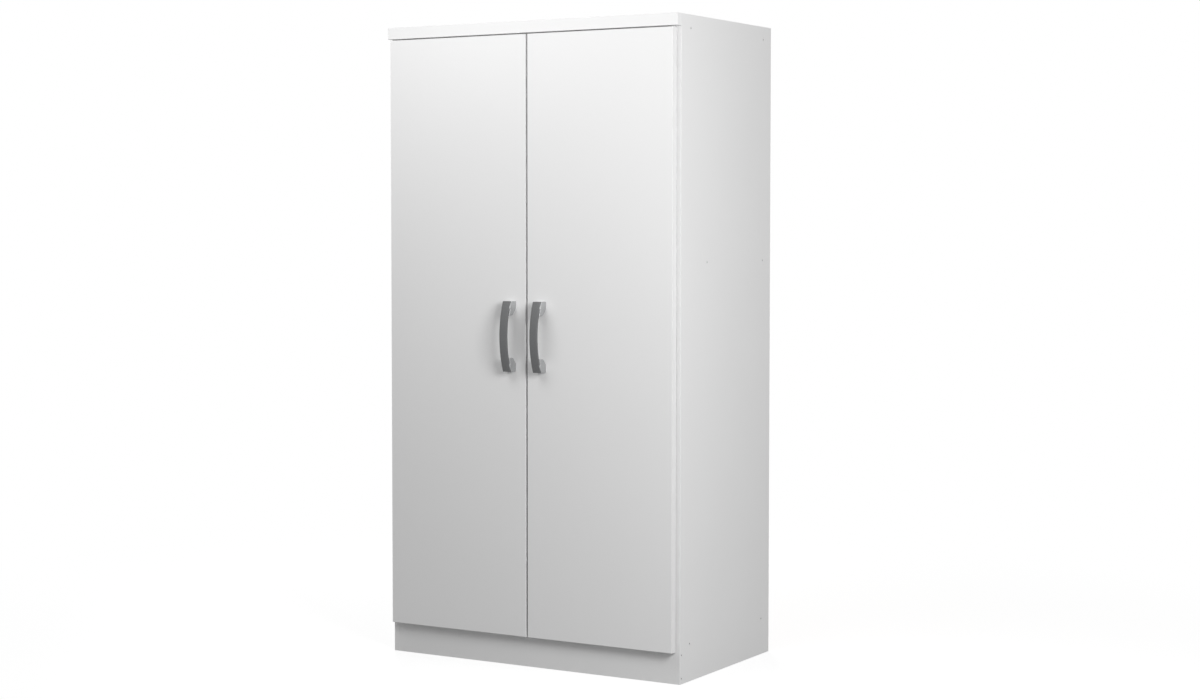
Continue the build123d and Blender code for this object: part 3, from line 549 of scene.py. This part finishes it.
def looked_at(tree):
    """One where the camera sees, also by way of metal or glass, and nought where light only bounces."""
    ray = add(tree, "LightPath").outputs
    bent = {0: ray["Is Glossy Ray"], 1: ray["Is Transmission Ray"]}
    by_way = add(tree, "Math", {"operation": "MAXIMUM"}, bent)
    any_way = {0: ray["Is Camera Ray"], 1: by_way.outputs[0]}
    return add(tree, "Math", {"operation": "MAXIMUM"}, any_way).outputs[0]


reach = add(tree, "VectorMath", {"operation": "LENGTH"}, {0: place["Object"]})
runs_out = {"Value": reach.outputs["Value"], "From Min": shadow_reach, "From Max": white_from}
fade = add(tree, "MapRange", {"interpolation_type": "SMOOTHSTEP"}, runs_out)
matt = add(tree, "BsdfDiffuse", inputs={"Color": linear("#A0A0A0")})
glow = add(tree, "Emission", inputs={"Strength": 0.74})
near = add(tree, "AddShader", inputs={0: matt.outputs[0], 1: glow.outputs[0]})
white = add(tree, "Emission", inputs={"Strength": 1.0})
seen = add(tree, "MixShader", inputs={0: fade.outputs[0], 1: near.outputs[0], 2: white.outputs[0]})
bounce = add(tree, "BsdfDiffuse", inputs={"Color": linear("#8A8A8A")})
both = {0: looked_at(tree), 1: bounce.outputs[0], 2: seen.outputs[0]}
shader = add(tree, "MixShader", inputs=both)
add(tree, "OutputMaterial", inputs={"Surface": shader.outputs[0]})
form = bmesh.new()
bmesh.ops.create_circle(form, cap_ends=True, radius=floor_radius, segments=96)
bmesh.ops.translate(form, vec=(0, 0, -floor_drop), verts=form.verts[:])
placed("studio_floor", form, floor_finish)

# Studio: white all round to the eye, with a low even light, a soft lamp above the front, a stronger one
# at the right, which throws the shadows of the handles, and a large one behind for the back.
world = bpy.data.worlds.new("white_studio")
bpy.context.scene.world = world
world.use_nodes = True
tree = world.node_tree
tree.nodes.clear()
even = add(tree, "Background", inputs={"Color": linear("#FFFFFF"), "Strength": 0.36})
white = add(tree, "Background", inputs={"Color": linear("#FFFFFF"), "Strength": 1.0})
both = {0: looked_at(tree), 1: even.outputs[0], 2: white.outputs[0]}
sky = add(tree, "MixShader", inputs=both)
add(tree, "OutputWorld", inputs={"Surface": sky.outputs[0]})

lamps = {
    "lamp_above_front": ((-0.37, -1.19, 2.23), (0, -0.2, 1.52), 1.11, 8.7),
    "lamp_right": ((2.43, -1.78, 1.72), (0, -0.2, 1.0), 1.07, 55.8),
    "lamp_behind": ((-2.2, 2.8, 2.6), (0, -0.2, 1.0), 2.0, 70.0),
}
for name, (stand, target, size, watts) in lamps.items():
    light = bpy.data.lights.new(name, "AREA")
    light.size = size
    light.energy = watts
    lamp = bpy.data.objects.new(name, light)
    lamp.location = stand
    lamp.rotation_euler = (Vector(target) - Vector(stand)).to_track_quat("-Z", "Y").to_euler()
    lamp.visible_camera = False
    bpy.context.scene.collection.objects.link(lamp)

# Camera: stands at the front right, level with the upper half of the doors, and looks down a little.
# The small shift of its lens brings the wardrobe to its place in the frame.
tilt_down = math.radians(2.711)
turn_left = math.radians(30.847475)
lens = bpy.data.cameras.new("camera")
lens.sensor_width = 36.0
lens.lens = 65.96
lens.shift_x = 0.0209
lens.shift_y = -0.0206
camera = bpy.data.objects.new("camera", lens)
camera.location = (3.2366, -5.4204, 1.2476)
camera.rotation_euler = (math.radians(90) - tilt_down, 0, turn_left)
bpy.context.scene.collection.objects.link(camera)
bpy.context.scene.camera = camera
bpy.context.scene.view_settings.view_transform = "Standard"
